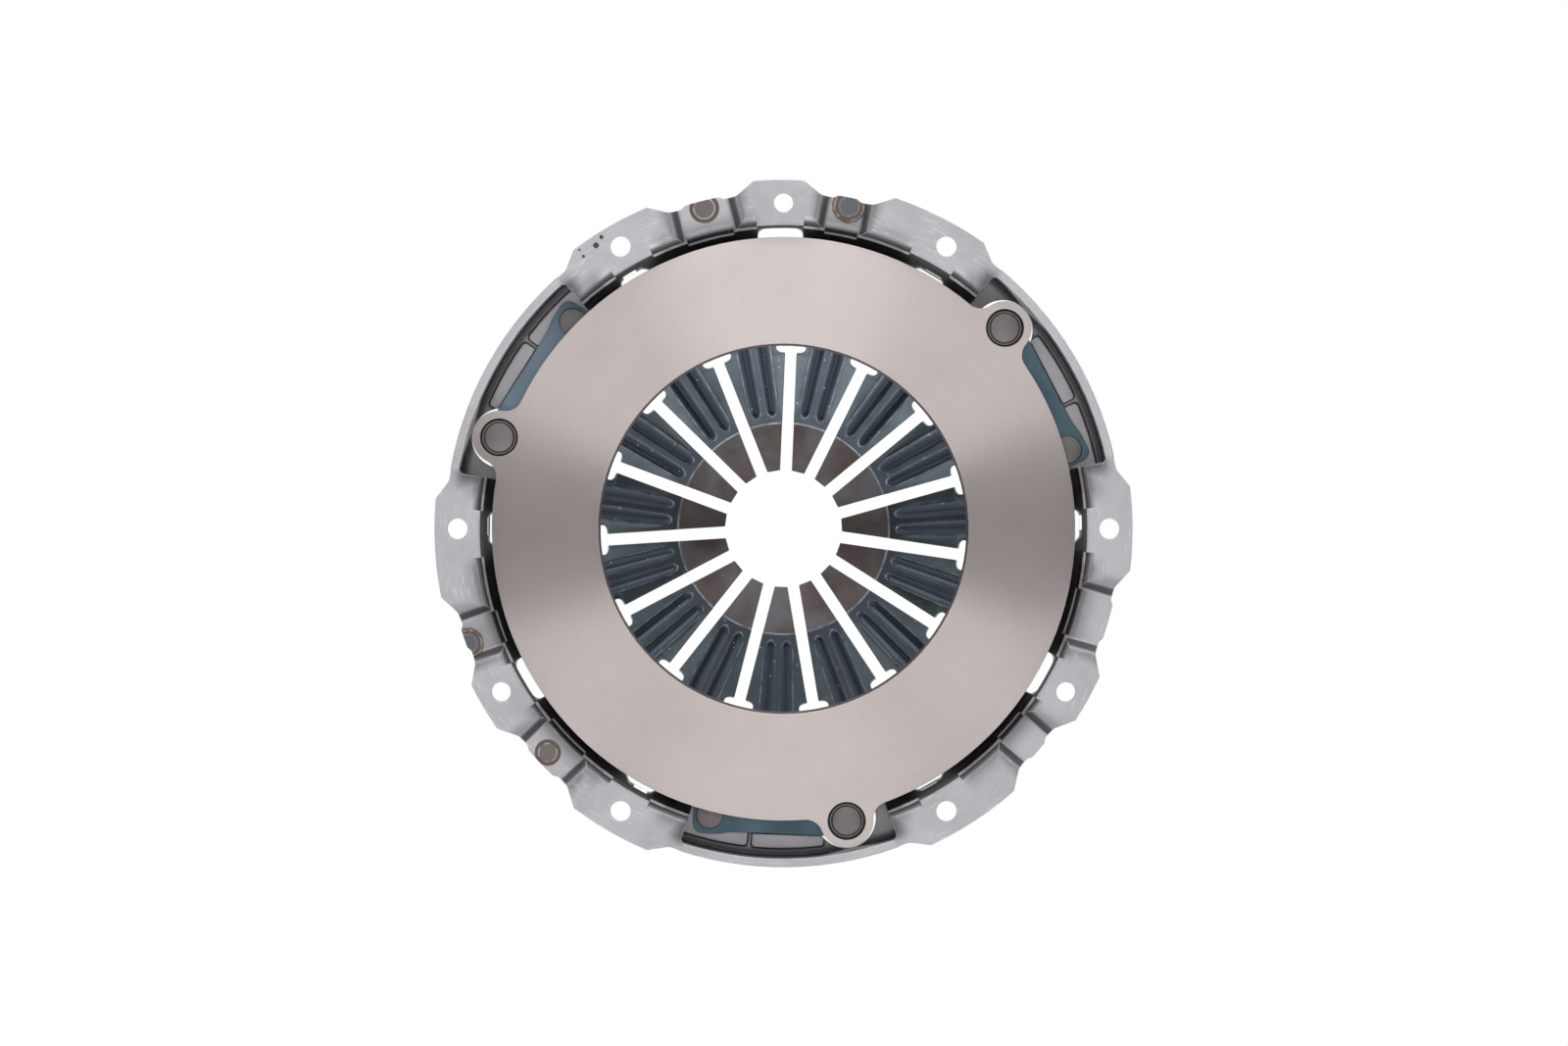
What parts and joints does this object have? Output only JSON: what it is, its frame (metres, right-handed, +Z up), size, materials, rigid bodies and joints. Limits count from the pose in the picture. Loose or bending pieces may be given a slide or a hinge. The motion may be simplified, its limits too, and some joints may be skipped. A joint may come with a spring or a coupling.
{
  "type": "clutch pressure plate",
  "caption": "Diaphragm-spring clutch cover assembly: pressed steel cover, ground pressure plate, slotted spring and leaf drive straps; bolts to a flywheel.",
  "frame": {"origin": "centre of the cover's mounting plane on the clutch axis", "axes": "+Y along the clutch axis away from the flywheel, +Z up through a dowel hole, +X to the right seen from the flywheel"},
  "size_m": [0.289, 0.0481, 0.2847],
  "materials": {
    "cover_steel": "pressed steel, lightly oiled",
    "plate_iron": "fine-ground face",
    "spring_steel": "dark tempered steel",
    "strap_steel": "blued spring steel",
    "rivet_steel": "upset steel",
    "ring_steel": "drawn wire"
  },
  "bodies": {
    "cover_body": {"cover": "cover_steel", "front_pivot_ring": "ring_steel", "rear_pivot_ring": "ring_steel", "pivot_rivets": "rivet_steel", "strap_cover_rivets": "rivet_steel", "balance_rivets": "rivet_steel", "drive_strap_1_leaf_1": "strap_steel", "drive_strap_1_leaf_2": "strap_steel", "drive_strap_1_leaf_3": "strap_steel", "drive_strap_2_leaf_1": "strap_steel", "drive_strap_2_leaf_2": "strap_steel", "drive_strap_2_leaf_3": "strap_steel", "drive_strap_3_leaf_1": "strap_steel", "drive_strap_3_leaf_2": "strap_steel", "drive_strap_3_leaf_3": "strap_steel"},
    "pressure_plate_body": {"pressure_plate": "plate_iron", "strap_lug_rivets": "rivet_steel"},
    "spring_finger_01_body": {"spring_finger_01": "spring_steel"},
    "spring_finger_02_body": {"spring_finger_02": "spring_steel"},
    "spring_finger_03_body": {"spring_finger_03": "spring_steel"},
    "spring_finger_04_body": {"spring_finger_04": "spring_steel"},
    "spring_finger_05_body": {"spring_finger_05": "spring_steel"},
    "spring_finger_06_body": {"spring_finger_06": "spring_steel"},
    "spring_finger_07_body": {"spring_finger_07": "spring_steel"},
    "spring_finger_08_body": {"spring_finger_08": "spring_steel"},
    "spring_finger_09_body": {"spring_finger_09": "spring_steel"},
    "spring_finger_10_body": {"spring_finger_10": "spring_steel"},
    "spring_finger_11_body": {"spring_finger_11": "spring_steel"},
    "spring_finger_12_body": {"spring_finger_12": "spring_steel"},
    "spring_finger_13_body": {"spring_finger_13": "spring_steel"},
    "spring_finger_14_body": {"spring_finger_14": "spring_steel"},
    "spring_finger_15_body": {"spring_finger_15": "spring_steel"}
  },
  "joints": [
    {"name": "plate_slide", "type": "slide", "parent": "cover_body", "child": "pressure_plate_body", "axis": [0, 1, 0], "range_m": [0, 0.004], "deforming": ["drive_strap_1_leaf_1", "drive_strap_1_leaf_2", "drive_strap_1_leaf_3", "drive_strap_2_leaf_1", "drive_strap_2_leaf_2", "drive_strap_2_leaf_3", "drive_strap_3_leaf_1", "drive_strap_3_leaf_2", "drive_strap_3_leaf_3"]},
    {"name": "finger_01_pivot", "type": "hinge", "parent": "cover_body", "child": "spring_finger_01_body", "pos_m": [0.08982, 0.03219, 0.00565], "axis": [-0.0628, 0, 0.998], "range_deg": [0, 13.62]},
    {"name": "finger_02_pivot", "type": "hinge", "parent": "cover_body", "child": "spring_finger_02_body", "pos_m": [0.07976, 0.03219, 0.0417], "axis": [-0.4633, 0, 0.8862], "range_deg": [0, 13.62]},
    {"name": "finger_03_pivot", "type": "hinge", "parent": "cover_body", "child": "spring_finger_03_body", "pos_m": [0.0559, 0.03219, 0.07053], "axis": [-0.7837, 0, 0.6211], "range_deg": [0, 13.62]},
    {"name": "finger_04_pivot", "type": "hinge", "parent": "cover_body", "child": "spring_finger_04_body", "pos_m": [0.02238, 0.03219, 0.08717], "axis": [-0.9686, 0, 0.2487], "range_deg": [0, 13.62]},
    {"name": "finger_05_pivot", "type": "hinge", "parent": "cover_body", "child": "spring_finger_05_body", "pos_m": [-0.01501, 0.03219, 0.08874], "axis": [-0.986, 0, -0.1668], "range_deg": [0, 13.62]},
    {"name": "finger_06_pivot", "type": "hinge", "parent": "cover_body", "child": "spring_finger_06_body", "pos_m": [-0.04981, 0.03219, 0.07496], "axis": [-0.8329, 0, -0.5534], "range_deg": [0, 13.62]},
    {"name": "finger_07_pivot", "type": "hinge", "parent": "cover_body", "child": "spring_finger_07_body", "pos_m": [-0.07599, 0.03219, 0.04822], "axis": [-0.5358, 0, -0.8443], "range_deg": [0, 13.62]},
    {"name": "finger_08_pivot", "type": "hinge", "parent": "cover_body", "child": "spring_finger_08_body", "pos_m": [-0.08903, 0.03219, 0.01315], "axis": [-0.1461, 0, -0.9893], "range_deg": [0, 13.62]},
    {"name": "finger_09_pivot", "type": "hinge", "parent": "cover_body", "child": "spring_finger_09_body", "pos_m": [-0.08668, 0.03219, -0.0242], "axis": [0.2689, 0, -0.9632], "range_deg": [0, 13.62]},
    {"name": "finger_10_pivot", "type": "hinge", "parent": "cover_body", "child": "spring_finger_10_body", "pos_m": [-0.06935, 0.03219, -0.05737], "axis": [0.6374, 0, -0.7705], "range_deg": [0, 13.62]},
    {"name": "finger_11_pivot", "type": "hinge", "parent": "cover_body", "child": "spring_finger_11_body", "pos_m": [-0.04002, 0.03219, -0.08061], "axis": [0.8957, 0, -0.4446], "range_deg": [0, 13.62]},
    {"name": "finger_12_pivot", "type": "hinge", "parent": "cover_body", "child": "spring_finger_12_body", "pos_m": [-0.00377, 0.03219, -0.08992], "axis": [0.9991, 0, -0.0419], "range_deg": [0, 13.62]},
    {"name": "finger_13_pivot", "type": "hinge", "parent": "cover_body", "child": "spring_finger_13_body", "pos_m": [0.03313, 0.03219, -0.08368], "axis": [0.9298, 0, 0.3681], "range_deg": [0, 13.62]},
    {"name": "finger_14_pivot", "type": "hinge", "parent": "cover_body", "child": "spring_finger_14_body", "pos_m": [0.0643, 0.03219, -0.06297], "axis": [0.6997, 0, 0.7145], "range_deg": [0, 13.62]},
    {"name": "finger_15_pivot", "type": "hinge", "parent": "cover_body", "child": "spring_finger_15_body", "pos_m": [0.08436, 0.03219, -0.03137], "axis": [0.3486, 0, 0.9373], "range_deg": [0, 13.62]}
  ],
  "couplings": [
    {"joint": "finger_01_pivot", "follows": "plate_slide", "rad_per_m": 59.215},
    {"joint": "finger_02_pivot", "follows": "plate_slide", "rad_per_m": 59.215},
    {"joint": "finger_03_pivot", "follows": "plate_slide", "rad_per_m": 59.215},
    {"joint": "finger_04_pivot", "follows": "plate_slide", "rad_per_m": 59.215},
    {"joint": "finger_05_pivot", "follows": "plate_slide", "rad_per_m": 59.215},
    {"joint": "finger_06_pivot", "follows": "plate_slide", "rad_per_m": 59.215},
    {"joint": "finger_07_pivot", "follows": "plate_slide", "rad_per_m": 59.215},
    {"joint": "finger_08_pivot", "follows": "plate_slide", "rad_per_m": 59.215},
    {"joint": "finger_09_pivot", "follows": "plate_slide", "rad_per_m": 59.215},
    {"joint": "finger_10_pivot", "follows": "plate_slide", "rad_per_m": 59.215},
    {"joint": "finger_11_pivot", "follows": "plate_slide", "rad_per_m": 59.215},
    {"joint": "finger_12_pivot", "follows": "plate_slide", "rad_per_m": 59.215},
    {"joint": "finger_13_pivot", "follows": "plate_slide", "rad_per_m": 59.215},
    {"joint": "finger_14_pivot", "follows": "plate_slide", "rad_per_m": 59.215},
    {"joint": "finger_15_pivot", "follows": "plate_slide", "rad_per_m": 59.215}
  ]
}
